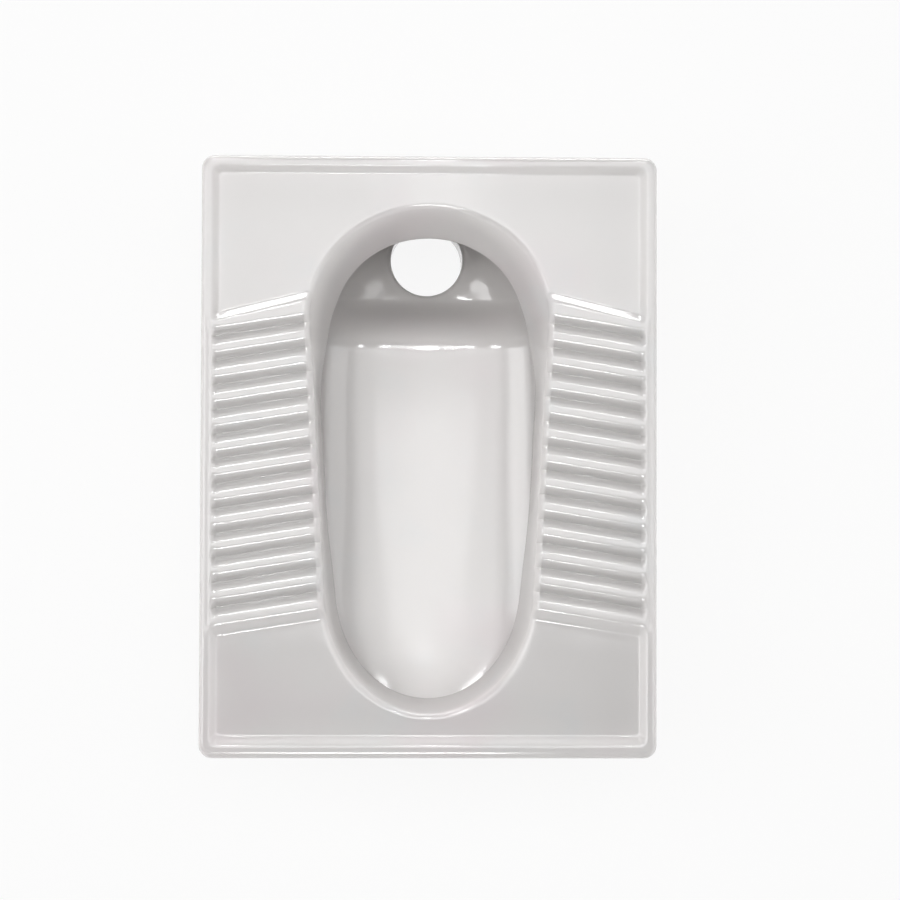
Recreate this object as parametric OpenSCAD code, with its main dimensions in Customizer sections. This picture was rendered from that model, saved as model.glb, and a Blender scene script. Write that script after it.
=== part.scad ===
// Squat toilet pan: a glazed vitreous-china foot plate with raised treads, let into the floor,
// over a closed flushing rim, a shallow trough and a straight outlet horn.
// Frame: +Z up, +Y towards the outlet end, -Y towards the shallow end, X across.
// Origin: middle of the plate in plan, at the level of the outlet horn's lower end.

/* [Foot plate] */
// Width of the foot plate, side to side
deck_w = 455; // [448:1:465]
// Length of the foot plate, end to end
deck_l = 600; // [592:1:615]
// Radius of the plate's corners in plan
corner_r = 13; // [11:1:16]
// Height of the raised border above the end decks
border_h = 7; // [5:0.5:9]
// Width of the raised border along the sides and the outlet end
border_w = 18; // [16:1:20]
// Width of the raised border along the shallow end
shallow_border_w = 23; // [18:1:26]
// Thickness of the plate under the end decks
plate_t = 10; // [8:1:12]
// Thickness of the skirt below the border
skirt_t = 12; // [10:1:14]
// Depth of the skirt below the crest of the border
skirt_h = 45; // [38:1:55]

/* [Treads] */
// Number of ridges on each side
ridge_count = 13; // [12:1:13]
// Distance from one ridge to the next
ridge_pitch = 24.6; // [24:0.1:25]
// Angle by which the outer end of a ridge falls back towards the shallow end
ridge_slant = 9; // [6:1:11]
// Height of the ridges above the end decks
ridge_h = 6.6; // [5:0.2:7]
// Width of the groove between two ridges
groove_w = 17; // [14:0.5:18]
// Depth of the groove between two ridges
groove_depth = 5.8; // [4:0.2:6]
// Place of the first groove, measured where the treads meet the opening
first_groove_y = 134; // [130:1:137]

/* [Opening] */
// Half width of the opening at its wide end
head_rx = 118.7; // [115:0.5:121]
// Length of the round outlet end of the opening
head_ry = 110.8; // [108:0.5:113]
// Centre of the round outlet end
head_y = 136.3; // [134:0.5:138]
// Half width of the opening where the shallow end starts to round
front_rx = 104.3; // [102:0.5:107]
// Length of the round shallow end of the opening
front_ry = 123.2; // [120:0.5:126]
// Centre of the round shallow end
front_y = -131.9; // [-134:0.5:-129]
// Radius of the rolled edge round the opening
edge_r = 7; // [5:0.5:8]
// How far the rim wall leans in at the outlet end
rim_lean_head = 23; // [20:1:25]
// How far the rim wall leans in along the sides
rim_lean_side = 5.5; // [5:0.5:7]
// How far the rim wall leans in at the shallow end
rim_lean_front = 11; // [9:0.5:13]

/* [Flushing rim] */
// Depth of the lip of the rim below the end decks
lip_depth = 58; // [56:1:60]
// Thickness of the spray shelf under the rim
shelf_t = 7; // [6:0.5:8]
// Distance from the opening out to the inside of the rim's outer wall, along the sides
ring_out_side = 24; // [22:1:28]
// The same distance at the outlet end
ring_out_head = 17; // [16:0.5:18]
// The same distance at the shallow end
ring_out_front = 16; // [14:0.5:18]
// Thickness of the rim's walls
ring_t = 8; // [7:0.5:8]
// Number of spray holes in the shelf
spray_holes = 28; // [20:2:36]
// Diameter of a spray hole
spray_d = 7; // [5:0.5:8]

/* [Bowl] */
// Thickness of the bowl
bowl_t = 9; // [8:0.5:10]
// Depth of the trough's floor below the end decks at the shallow end
floor_depth_front = 75; // [72:1:80]
// Depth of the trough's floor below the end decks before it falls to the sump
floor_depth_rear = 108; // [100:1:115]
// Depth of the sump round the outlet below the end decks
sump_depth = 165; // [158:1:172]
// Length of the fall from the trough to the outlet
sump_run = 60; // [54:1:70]

/* [Outlet horn] */
// Distance of the outlet's axis from the middle of the plate
outlet_y = 214; // [213:0.5:215]
// Bore of the outlet
outlet_d = 76; // [72:1:77]
// Outer diameter of the outlet horn
horn_od = 100; // [96:1:102]
// Length of the outlet horn below the bowl
horn_l = 49; // [40:1:60]

/* [Inlet horn] */
// Bore of the flush pipe inlet
inlet_d = 32; // [28:1:32]
// Outer diameter of the inlet horn
inlet_od = 44; // [40:1:44]
// Length of the inlet horn
inlet_l = 34; // [33:0.5:35]

/* [Supports] */
// Width of the foot under the trough
foot_w = 110; // [90:2:114]
// Length of that foot
foot_l = 44; // [40:1:46]
// Distance of that foot from the middle of the plate
foot_y = -130; // [-134:1:-126]
// Wall of that foot
foot_t = 9; // [8:0.5:11]
// Thickness of the webs under the treads
web_t = 10; // [8:0.5:12]
// Distance of the webs from the middle of the plate
web_y = 92; // [80:1:100]

/* [Hidden] */

china = [0.9, 0.89, 0.88];
biscuit = [0.84, 0.82, 0.78];

cut = 1;                                    // how far a cutter runs past what it cuts
large_fn = 96;
pipe_fn = 64;
small_fn = 32;

// ---- levels -------------------------------------------------------------------------------
deck_z = horn_l + bowl_t + sump_depth;      // top of the two end decks
crest_z = deck_z + border_h;                // top of the border, the highest level
under_z = deck_z - plate_t;                 // underside of the plate
skirt_z = crest_z - skirt_h;                // lower edge of the skirt
lip_z = deck_z - lip_depth;                 // lip of the rim and top of the bowl
shelf_z = lip_z + shelf_t;                  // top of the spray shelf
sump_z = deck_z - sump_depth;               // sump round the outlet
horn_z = sump_z - bowl_t;                   // top of the outlet horn

// ---- tread lines: every line runs y = y0 - fall * (|x| - tread_x) ---------------------------
tread_x = 121;
ridge_fall = tan(ridge_slant);
step_fall = 0.24;                           // the first ridge is wider at its inner end
step_ahead = 21.5;                          // from the first groove to the first ridge's crest
step_run = 10;                              // length of the fall ahead of the first ridge
drop_run = 13;                              // length of the fall after the last ridge
step_crest_y = first_groove_y + step_ahead;
step_foot_y = step_crest_y + step_run;
last_groove_y = first_groove_y - (ridge_count - 2) * ridge_pitch;
drop_crest_y = last_groove_y - ridge_pitch + groove_w / 2;
drop_foot_y = drop_crest_y - drop_run;
groove_end_gap = 1.5;
groove_end_x = deck_w / 2 - border_w - groove_end_gap;  // where the grooves' round ends start

// ---- small helpers ------------------------------------------------------------------------
function clamp01(t) = min(max(t, 0), 1);
function smooth(t) = let (c = clamp01(t)) c * c * (3 - 2 * c);
function mix(a, b, t) = a + (b - a) * t;
function unit(v) = v / norm(v);
function reversed(v) = [for (i = [len(v) - 1:-1:0]) v[i]];
function mirror_x(p) = [-p[0], p[1]];
function at_height(p, z) = [p[0], p[1], z];

// ---- edge of the opening: two half ellipses joined by straight, slightly tapering sides -----
taper = (head_rx - front_rx) / (head_y - front_y);
head_a = -atan(taper * head_ry / head_rx);
front_a = -atan(taper * front_ry / front_rx);
function head_pt(a) = [head_rx * cos(a), head_y + head_ry * sin(a)];
function front_pt(a) = [front_rx * cos(a), front_y + front_ry * sin(a)];
side_top = head_pt(head_a);
side_bottom = front_pt(front_a);

function ellipse_x(rx, ry, dy) = rx * sqrt(max(0, 1 - pow(dy / ry, 2)));
// Half width of the opening at y
function edge_x(y) =
    y >= side_top[1] ? ellipse_x(head_rx, head_ry, y - head_y) :
    y <= side_bottom[1] ? ellipse_x(front_rx, front_ry, y - front_y) :
    mix(side_bottom[0], side_top[0], (y - side_bottom[1]) / (side_top[1] - side_bottom[1]));
// Direction pointing away from the opening at a point of its edge
function edge_normal(p) =
    p[1] >= side_top[1] ? unit([p[0] / pow(head_rx, 2), (p[1] - head_y) / pow(head_ry, 2)]) :
    p[1] <= side_bottom[1] ? unit([p[0] / pow(front_rx, 2), (p[1] - front_y) / pow(front_ry, 2)]) :
    unit([sign(p[0]), -taper]);
// A point at a distance outside the edge
function off_edge(p, d) = p + edge_normal(p) * d;
// Where a tread line meets the edge, found in a few steps
function edge_on_line(y0, fall, y, steps) =
    steps == 0 ? [edge_x(y), y] : edge_on_line(y0, fall, y0 - fall * (edge_x(y) - tread_x), steps - 1);

// A value along the edge that blends from its middle to each end: beyond head_from over head_run
// at the outlet end, and beyond front_from over front_run at the shallow end
function along_edge(y, side, head, front, head_from, head_run, front_from, front_run) =
    side + (head - side) * smooth((y - head_from) / head_run)
         + (front - side) * smooth((front_from - y) / front_run);
// How far the rim wall leans in, and how far out the rim's outer wall stands
function rim_lean(y) =
    along_edge(y, rim_lean_side, rim_lean_head, rim_lean_front, 55, 120, -40, 125);
function ring_out(y) =
    along_edge(y, ring_out_side, ring_out_head, ring_out_front, 60, 140, -120, 110);
function lip_pt(p) = off_edge(p, -rim_lean(p[1]));

// The edge as a closed loop of points, evenly spread over the two ends and the sides
quarter_steps = 16;
side_steps = 14;
right_edge = concat(
    [for (i = [0:quarter_steps]) front_pt(mix(-90, front_a, i / quarter_steps))],
    [for (i = [1:side_steps - 1]) mix(side_bottom, side_top, i / side_steps)],
    [for (i = [0:quarter_steps]) head_pt(mix(head_a, 90, i / quarter_steps))]);
edge_loop = concat(right_edge, [for (i = [len(right_edge) - 2:-1:1]) mirror_x(right_edge[i])]);

// ---- top of the plate ----------------------------------------------------------------------
// Height of the plate without its border: end decks, the raised treads and their grooves
function groove(across, x) =
    let (past = max(0, x - groove_end_x), d = norm([across, past]) / (groove_w / 2))
    d >= 1 ? 0 : (1 + cos(180 * d)) / 2;
function tread_z(p) =
    let (x = abs(p[0]), along = p[1] + ridge_fall * (x - tread_x),
         raised = smooth((step_foot_y - p[1] - step_fall * (x - tread_x)) / step_run)
                * smooth((along - drop_foot_y) / drop_run),
         i = min(max(round((first_groove_y - along) / ridge_pitch), 0), ridge_count - 2),
         across = along - first_groove_y + i * ridge_pitch)
    deck_z + raised * (ridge_h - groove_depth * groove(across, x));
// Share of the border's height at a distance n in from the side of the plate
function border_share(n) = 1 - smooth((n - border_w / 2) / (border_w / 2));

// ---- rows of the plate ---------------------------------------------------------------------
// A row runs from the outside of the plate to the opening. Its outer end lies on one stretch of
// the outline, named by a kind, at a value along it; its inner end is a point of the edge.
shallow_edge = 0;
shallow_corner = 1;
shallow_side = 2;
tread_side = 3;
outlet_side = 4;
outlet_corner = 5;
outlet_edge = 6;

// Tread rows hold the line that they follow as [y0, fall]
groove_rows = [for (i = [ridge_count - 2:-1:0]) for (s = [-0.5, -0.31, -0.11, 0.11, 0.31, 0.5])
    [first_groove_y - i * ridge_pitch + s * groove_w, ridge_fall]];
tread_lines = concat(
    [for (f = [0, 0.3, 0.65, 1]) [mix(drop_foot_y, drop_crest_y, f), ridge_fall]],
    groove_rows,
    [for (f = [0, 0.35, 0.7, 1]) [mix(step_crest_y, step_foot_y, f), step_fall]]);
first_line = tread_lines[0];
last_line = tread_lines[len(tread_lines) - 1];
function line_y(l, x) = l[0] - l[1] * (x - tread_x);
function line_edge(l) = edge_on_line(l[0], l[1], l[0], 6);

// Point of the outline at an inset n and direction kind, value
inner_corner_r = 4;
function outline(kind, value, n) =
    let (r = max(corner_r - n / 2, inner_corner_r), hx = deck_w / 2 - n, hy = deck_l / 2 - n,
         sy = deck_l / 2 - n * shallow_border_w / border_w)
    kind == shallow_edge ? [value * (hx - r), -sy] :
    kind == shallow_corner ? [hx - r + r * sin(value), -sy + r - r * cos(value)] :
    kind == shallow_side ? [hx, mix(r - sy, line_y(first_line, hx), value)] :
    kind == tread_side ? [hx, line_y(value, hx)] :
    kind == outlet_side ? [hx, mix(line_y(last_line, hx), hy - r, value)] :
    kind == outlet_corner ? [hx - r + r * cos(value), hy - r + r * sin(value)] :
    [value * (hx - r), hy];

shallow_fan = concat(
    [for (v = [0, 0.2, 0.4, 0.6, 0.78, 0.91]) [shallow_edge, v]],
    [for (v = [0, 30, 60, 90]) [shallow_corner, v]],
    [for (v = [0.25, 0.6]) [shallow_side, v]]);
outlet_fan = concat(
    [for (v = [0.4, 0.75]) [outlet_side, v]],
    [for (v = [0, 30, 60, 90]) [outlet_corner, v]],
    [for (v = [0.88, 0.72, 0.52, 0.36, 0.2, 0.155, 0.11, 0]) [outlet_edge, v]]);
first_edge_a = -acos(line_edge(first_line)[0] / front_rx);
last_edge_a = acos(line_edge(last_line)[0] / head_rx);
right_rows = concat(
    [for (i = [0:len(shallow_fan) - 1])
        [shallow_fan[i][0], shallow_fan[i][1], front_pt(mix(-90, first_edge_a, i / len(shallow_fan)))]],
    [for (l = tread_lines) [tread_side, l, line_edge(l)]],
    [for (i = [0:len(outlet_fan) - 1])
        [outlet_fan[i][0], outlet_fan[i][1], head_pt(mix(last_edge_a, 90, (i + 1) / len(outlet_fan)))]]);

// Lower edge of the skirt: level, with a notch for the flush pipe at the outlet end
notch_half_w = 30;
notch_slope_w = 12;
notch_gap = 0.5;
function skirt_edge_z(p) =
    p[1] < deck_l / 4 ? skirt_z :
    mix(under_z - notch_gap, skirt_z, smooth((abs(p[0]) - notch_half_w) / notch_slope_w));

function on_border(row, n) =
    let (p = outline(row[0], row[1], n), z = tread_z(p)) at_height(p, mix(z, crest_z, border_share(n)));
function on_deck(p) = at_height(p, tread_z(p));

// One closed section: up the skirt, over the border and the deck, down the rim wall and back
border_round_h = 6;                         // height of the border's outer rounding
shoulder_in = 1.5;                          // a point half way round it
shoulder_drop = 2;
crest_in = 5;                               // where the border's crest starts
edge_mid = 1 - cos(45);                     // half way round the rolled edge
wall_flare = 1;                             // the rim wall is this much thicker at its top
function section(row) =
    let (rim = outline(row[0], row[1], 0), skirt_in = outline(row[0], row[1], skirt_t),
         inner = outline(row[0], row[1], border_w), e = row[2], edge = off_edge(e, edge_r),
         edge_z = tread_z(edge), bend = edge_r * edge_mid,
         wall_top = at_height(e, edge_z - edge_r), wall_foot = at_height(lip_pt(e), shelf_z),
         back_top = off_edge(e, ring_t + wall_flare))
    concat(
        [at_height(rim, skirt_edge_z(rim)), at_height(rim, crest_z - border_round_h)],
        [at_height(outline(row[0], row[1], shoulder_in), crest_z - shoulder_drop)],
        [for (n = [crest_in, border_w / 2, border_w * 0.75, border_w]) on_border(row, n)],
        [for (f = [0.15, 0.4, 0.7, 1]) on_deck(mix(inner, edge, f))],
        [at_height(off_edge(e, bend), edge_z - bend)],
        [for (f = [0, 0.35, 0.7, 1]) mix(wall_top, wall_foot, f)],
        [at_height(off_edge(lip_pt(e), ring_t), shelf_z), at_height(back_top, under_z)],
        [at_height(mix(back_top, skirt_in, 0.5), under_z), at_height(skirt_in, under_z)],
        [at_height(skirt_in, skirt_edge_z(rim))]);

function mirror_section(s) = [for (p = s) [-p[0], p[1], p[2]]];

// Closed ring solid through closed sections that all have the same number of points
module ring_solid(sections) {
    rows = len(sections);
    cols = len(sections[0]);
    points = [for (s = sections) each s];
    function at(i, j) = (i % rows) * cols + j % cols;
    faces = [for (i = [0:rows - 1]) for (j = [0:cols - 1]) each [
        [at(i, j), at(i, j + 1), at(i + 1, j + 1)],
        [at(i, j), at(i + 1, j + 1), at(i + 1, j)]]];
    polyhedron(points = points, faces = faces, convexity = 8);
}

// ---- foot plate ----------------------------------------------------------------------------
module foot_plate() {
    right = [for (row = right_rows) section(row)];
    left = [for (i = [len(right) - 2:-1:1]) mirror_section(right[i])];
    color(china) ring_solid(concat(right, left));
}

// ---- flushing rim: spray shelf and outer wall, closed on top by the plate --------------------
inlet_end_gap = 3;                          // from the inlet horn's end to the plate's end
inlet_low = 3;                              // from the middle of the rim's channel to its axis
inlet_z = (under_z + shelf_z) / 2 - inlet_low;
inlet_start_y = deck_l / 2 - inlet_end_gap - inlet_l;

module edge_area(offsets) {
    polygon([for (i = [0:len(edge_loop) - 1]) off_edge(edge_loop[i], offsets[i])]);
}
lip_offsets = [for (p = edge_loop) -rim_lean(p[1])];
wall_offsets = [for (p = edge_loop) ring_out(p[1])];
outer_offsets = [for (p = edge_loop) ring_out(p[1]) + ring_t];

module inlet_cutter() {
    translate([0, inlet_start_y - cut, inlet_z]) rotate([-90, 0, 0])
        cylinder(h = inlet_l, d = inlet_od, $fn = pipe_fn);
}

module spray_shelf() {
    color(china) difference() {
        translate([0, 0, lip_z]) linear_extrude(shelf_t) difference() {
            edge_area(outer_offsets);
            edge_area(lip_offsets);
        }
        inlet_cutter();
        for (i = [0:spray_holes - 1]) spray_hole((i + 0.5) / spray_holes);
    }
}

module rim_outer_wall() {
    color(china) difference() {
        translate([0, 0, shelf_z]) linear_extrude(under_z - shelf_z) difference() {
            edge_area(outer_offsets);
            edge_area(wall_offsets);
        }
        inlet_cutter();
    }
}

// A spray hole, half way between the rim wall and the outer wall, at a share of the way round
module spray_hole(share) {
    p = edge_loop[round(share * len(edge_loop)) % len(edge_loop)];
    middle = (ring_out(p[1]) + ring_t - rim_lean(p[1])) / 2;
    translate(at_height(off_edge(p, middle), lip_z - cut))
        cylinder(h = shelf_t + 2 * cut, d = spray_d, $fn = small_fn);
}

// ---- bowl ------------------------------------------------------------------------------------
outlet_c = [0, outlet_y];
outlet_round = 6;                           // radius of the outlet's round edge
funnel_r = outlet_d / 2 + outlet_round;     // where that round edge would start
level_gap = 3;                              // the level floor runs on a little past it
level_r = funnel_r + level_gap;
horn_clear = 1;                             // the same, for the bowl's outside round the horn
under_level_r = horn_od / 2 + horn_clear;

// Depth of the floor's middle line below the end decks: a gentle fall, then a steep one across
// the whole width of the trough down to the sump
trough_start_y = -240;
trough_run = 350;
function trough_depth(y) =
    mix(floor_depth_front, floor_depth_rear, clamp01((y - trough_start_y) / trough_run));
function floor_depth(y) =
    mix(trough_depth(y), sump_depth, smooth((y - outlet_y + funnel_r + sump_run) / sump_run));

// Gauge of how far a point lies out towards the wall: 0 in the middle, about 1 at the wall
wall_ry_head = head_ry + ring_out_head;
wall_ry_front = head_y - front_y + front_ry + ring_out_front;
across_power = 2.4;
head_power = 2;
front_power = 4.6;
function half_width(y) = mix(front_rx, head_rx, smooth((y - front_y) / (head_y - front_y))) + ring_out_side;
function out_gauge(p) =
    pow(abs(p[0]) / half_width(p[1]), across_power)
    + (p[1] > head_y ? pow((p[1] - head_y) / wall_ry_head, head_power)
                     : pow((head_y - p[1]) / wall_ry_front, front_power));

// Height of the bowl at a point on the ray that ends at a point of the wall: the floor is level
// within flat_r of the outlet's axis, and steepens up to the rim. drop sets the outer surface down.
wall_run = 60;
gap_share = 0.9;
function bowl_z(p, wall, flat_r, drop) =
    let (gap = norm(wall - outlet_c) - flat_r,
         clear = smooth((norm(p - outlet_c) - flat_r) / min(wall_run, gap_share * gap)),
         rise = pow(min(1, out_gauge(p) / out_gauge(wall)), 2),
         floor_z = deck_z - floor_depth(p[1] + flat_r - funnel_r) - drop)
    mix(floor_z, lip_z, rise * clear);

// Rays of the bowl run out from a slender loop round the trough's middle line to the wall, square
// to the wall along the sides and fanned out at the two ends. None lies on the middle line.
end_rays = 13;
side_rays = 22;
right_wall = concat(
    [for (i = [0:end_rays - 1]) front_pt(mix(-90, front_a, (i + 0.5) / end_rays))],
    [for (i = [0:side_rays - 1]) mix(side_bottom, side_top, (i + 0.5) / side_rays)],
    [for (i = [0:end_rays - 1]) head_pt(mix(head_a, 90, (i + 0.5) / end_rays))]);
bowl_edge = concat(right_wall, [for (p = reversed(right_wall)) mirror_x(p)]);
core_share = 0.05;
core_end_y = 170;
core_squeeze = 4;                           // the two ends of the core loop are this much shorter
function core_pt(wall) =
    let (end = min(max(wall[1], -core_end_y), core_end_y))
    [core_share * wall[0], end + (wall[1] - end) / core_squeeze];

// Share of the way from the wall to the core at which a ray reaches the level floor round the
// outlet, or most of the way where it doesn't
far_share = 0.9;
function flat_share(wall, core, flat_r) =
    let (w = wall - outlet_c, d = core - wall, a = d * d, b = 2 * w * d, c = w * w - flat_r * flat_r,
         s = b * b - 4 * a * c)
    s < 0 ? far_share : min(far_share, (-b - sqrt(s)) / (2 * a));

// Stations of a ray from the wall in to the core, closer together near the wall
inner_steps = 12;
outer_steps = 8;
core_steps = 2;
crowding = 1.5;
function ray(e, steps, out, flat_r, drop) =
    let (wall = off_edge(e, ring_out(e[1]) + out), core = core_pt(wall),
         share = flat_share(wall, core, flat_r),
         stations = concat(
            [for (k = [1:steps]) share * pow(k / steps, crowding)],
            [for (k = [1:core_steps]) mix(share, 1, k / core_steps)]))
    concat(
        [at_height(wall, lip_z)],
        [for (s = stations) let (p = mix(wall, core, s)) at_height(p, bowl_z(p, wall, flat_r, drop))]);

// Closed shell: every strip runs from the inner core out to the wall and back under to the core,
// and the two cores are closed across the middle line
module bowl_shell() {
    strips = [for (e = bowl_edge) concat(
        reversed(ray(e, inner_steps, 0, level_r, 0)),
        ray(e, outer_steps, ring_t, under_level_r, bowl_t))];
    n = len(strips);
    m = len(strips[0]);
    points = [for (s = strips) each s];
    function at(i, j) = (i % n) * m + j;
    skin = [for (i = [0:n - 1]) for (j = [0:m - 2]) each [
        [at(i, j), at(i + 1, j + 1), at(i, j + 1)],
        [at(i, j), at(i + 1, j), at(i + 1, j + 1)]]];
    inner_core = [for (i = [0:n / 2 - 2]) each [
        [at(i, 0), at(n - 1 - i, 0), at(n - 2 - i, 0)],
        [at(i, 0), at(n - 2 - i, 0), at(i + 1, 0)]]];
    outer_core = [for (i = [0:n / 2 - 2]) each [
        [at(i, m - 1), at(n - 2 - i, m - 1), at(n - 1 - i, m - 1)],
        [at(i, m - 1), at(i + 1, m - 1), at(n - 2 - i, m - 1)]]];
    polyhedron(points = points, faces = concat(skin, inner_core, outer_core), convexity = 8);
}

// The outlet: a straight bore with a round upper edge. The round's last stretch runs on straight
// through the level floor, so that the floor is cut at an angle.
last_turn = 75;
module outlet_cutter() {
    r = outlet_d / 2;
    turn = [for (t = [0:15:last_turn])
        [funnel_r - outlet_round * cos(t), sump_z - outlet_round * (1 - sin(t))]];
    past = [sin(last_turn), cos(last_turn)] * outlet_round / 2;
    mouth = turn[len(turn) - 1] + past;
    translate([0, outlet_y, 0]) rotate_extrude($fn = large_fn) polygon(concat(
        [[0, horn_z - cut], [r, horn_z - cut]], turn, [mouth, [0, mouth[1]]]));
}

// Level pad under the trough, for the foot to bear on. Its top stays inside the bowl's wall.
pad_lip = 4;
pad_t = bowl_t + 2;
pad_under = 3;                              // how far it stands out below the bowl
pad_z = deck_z - trough_depth(foot_y + foot_l / 2) - bowl_t - pad_under;
foot_corner_r = 14;
module foot_pad() {
    translate([0, foot_y, pad_z]) linear_extrude(pad_t)
        rounded_area(foot_w + 2 * pad_lip, foot_l + 2 * pad_lip, foot_corner_r + pad_lip);
}
module rounded_area(w, l, r) {
    square([w - 2 * r, l], center = true);
    square([w, l - 2 * r], center = true);
    for (x = [-1, 1]) for (y = [-1, 1])
        translate([x * (w / 2 - r), y * (l / 2 - r)]) circle(r = r, $fn = small_fn);
}

module bowl() {
    color(china) difference() {
        union() {
            bowl_shell();
            foot_pad();
        }
        outlet_cutter();
    }
}

// ---- horns -----------------------------------------------------------------------------------
horn_bevel = 3;
module outlet_horn() {
    r = horn_od / 2;
    color(china) translate([0, outlet_y, 0]) rotate_extrude($fn = large_fn) polygon([
        [outlet_d / 2, 0], [r - horn_bevel, 0], [r, horn_bevel], [r, horn_z], [outlet_d / 2, horn_z]]);
}

inlet_bevel = 2;
module inlet_horn() {
    r = inlet_od / 2;
    color(china) translate([0, inlet_start_y, inlet_z]) rotate([-90, 0, 0])
        rotate_extrude($fn = pipe_fn) polygon([
            [inlet_d / 2, 0], [r, 0], [r, inlet_l - inlet_bevel],
            [r - inlet_bevel, inlet_l], [inlet_d / 2, inlet_l]]);
}

// ---- supports --------------------------------------------------------------------------------
module front_foot() {
    color(biscuit) translate([0, foot_y, 0]) linear_extrude(pad_z) difference() {
        rounded_area(foot_w, foot_l, foot_corner_r);
        rounded_area(foot_w - 2 * foot_t, foot_l - 2 * foot_t, foot_corner_r - foot_t);
    }
}

// A web between the rim's outer wall and the skirt, arched along its lower edge
web_low_z = skirt_z + 4;
arch_x = 182;
arch_r = 24;
arch_low = 12;                              // the arch's centre lies this far below the web
module web(side, y) {
    inner_x = side > 0 ? head_rx : skirt_t - deck_w / 2;
    color(biscuit) difference() {
        translate([inner_x, y - web_t / 2, web_low_z])
            cube([deck_w / 2 - skirt_t - head_rx, web_t, under_z - web_low_z]);
        translate([0, 0, lip_z]) linear_extrude(deck_z - lip_z) edge_area(outer_offsets);
        translate([side * arch_x, y - web_t, web_low_z - arch_low]) rotate([-90, 0, 0])
            cylinder(h = 2 * web_t, r = arch_r, $fn = pipe_fn);
    }
}

module left_rear_web() { web(-1, web_y); }
module right_rear_web() { web(1, web_y); }
module left_front_web() { web(-1, -web_y); }
module right_front_web() { web(1, -web_y); }

foot_plate();
spray_shelf();
rim_outer_wall();
bowl();
outlet_horn();
inlet_horn();
front_foot();
left_rear_web();
right_rear_web();
left_front_web();
right_front_web();
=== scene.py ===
"""A white glazed squat toilet pan, seen almost straight from above on a plain pale floor.

The shape functions work in millimetres: X across the pan, Y towards its outlet end, Z up from the
lower end of the outlet horn. make_piece turns their points into metres."""
import math

import bpy
import numpy as np
from mathutils import Matrix, Vector


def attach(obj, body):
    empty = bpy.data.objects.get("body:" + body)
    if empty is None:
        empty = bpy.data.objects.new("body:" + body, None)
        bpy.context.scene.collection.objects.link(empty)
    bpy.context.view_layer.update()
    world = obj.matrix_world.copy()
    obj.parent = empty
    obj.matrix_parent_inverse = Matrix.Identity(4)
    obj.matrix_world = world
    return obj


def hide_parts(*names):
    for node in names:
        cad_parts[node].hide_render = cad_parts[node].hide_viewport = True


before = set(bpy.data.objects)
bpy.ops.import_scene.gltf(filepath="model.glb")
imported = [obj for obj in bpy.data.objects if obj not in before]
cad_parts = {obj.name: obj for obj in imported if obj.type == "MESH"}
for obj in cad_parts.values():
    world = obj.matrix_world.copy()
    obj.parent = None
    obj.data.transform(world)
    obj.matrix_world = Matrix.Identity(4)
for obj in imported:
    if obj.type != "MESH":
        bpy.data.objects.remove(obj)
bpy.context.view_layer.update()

# ---- levels -----------------------------------------------------------------------------------
CREST_Z = 230.0         # top of the border
DECK_Z = 223.0          # the two smooth end decks
UNDER_Z = 213.0         # underside of the plate
SKIRT_Z = 185.0         # lower edge of the skirt
SHELF_Z = 172.0         # top of the spray shelf
LIP_Z = 165.0           # lip of the rim, top of the bowl
PAD_Z = 123.55          # pad that the foot bears on
SUMP_Z = 58.0           # top of the outlet's rounded edge
HORN_Z = 49.0           # top of the outlet horn

# ---- plan of the plate and of its opening -------------------------------------------------------
DECK_W, DECK_L = 455.0, 600.0
CORNER_R = 13.0
INNER_CORNER_R = 4.0
BORDER_W, SHALLOW_BORDER_W = 18.0, 23.0
SKIRT_T = 12.0
HEAD_RX, HEAD_RY, HEAD_Y = 118.7, 110.8, 136.3
FRONT_RX, FRONT_RY, FRONT_Y = 104.3, 123.2, -131.9
TAPER = (HEAD_RX - FRONT_RX) / (HEAD_Y - FRONT_Y)
HEAD_A = -math.atan(TAPER * HEAD_RY / HEAD_RX)
FRONT_A = -math.atan(TAPER * FRONT_RY / FRONT_RX)
EDGE_R = 7.0            # rolled edge of the opening
NOSE_R = 3.5            # rounding of the rim's lip
RIM_T = 8.0
QUARTER = math.pi / 2

# ---- treads ---------------------------------------------------------------------------------------
TREAD_X = 121.0
FIRST_GROOVE_Y = 134.0
PITCH = 24.6
GROOVES = 12
GROOVE_W = 20.0
GROOVE_DEPTH = 5.8
VALLEY_ROUND, VALLEY_POWER = 0.015, 1.7
FLARE_X, FLARE_RUN, FLARE = 208.0, 9.0, 2.6     # where a groove widens, over what run, by how much
FADE_X, FADE_RUN = 211.0, 7.0                   # where a groove fades out, over what run
DIP, DIP_X, DIP_SHIFT, DIP_W = 0.7, 219.6, 2.4, 1.9    # faint dip beside the border
RIDGE_H = 6.6
RIDGE_FALL = math.tan(math.radians(9))
STEP_FALL = 0.24
STEP_CREST_Y, STEP_FOOT_Y = 155.5, 165.5
DROP_CREST_Y, DROP_FOOT_Y = -152.7, -165.7

# ---- glaze and painted shade, as values of the glaze attribute ----------------------------------------
GLAZED = 60.0           # full glaze, from which the painted shade counts
PAINTED_SHADE_SPAN = 40.0        # what the full painted shade adds
BARE = -30.0            # well below the glaze's line

# ---- bowl and outlet --------------------------------------------------------------------------------
OUTLET_Y = 214.0
OUTLET_R = 38.0
OUTLET_ROUND = 6.0
HORN_R = 50.0
BOWL_T = 9.0
OUTER_FLAT_R = 51.0     # where the bowl's outer skin ends at the horn
FALL_START, FALL_RUN, FALL_POWER = 106.0, 62.0, 1.4     # ahead of the outlet's axis
TROUGH_START_Y, TROUGH_RUN = -240.0, 350.0
TROUGH_FRONT_DEPTH, TROUGH_REAR_DEPTH = 75.0, 108.0


def ramp(v, bend=0.2):
    """Rise from 0 to 1 that is straight but for a rounded share, bend, at each end: the integral of
    a trapezium."""
    v = np.clip(v, 0, 1)
    w = np.minimum(v, 1 - v)
    rise = np.where(w < bend, w * w / (2 * bend), w - bend / 2) / (1 - bend)
    return np.where(v < 0.5, rise, 1 - rise)


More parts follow.
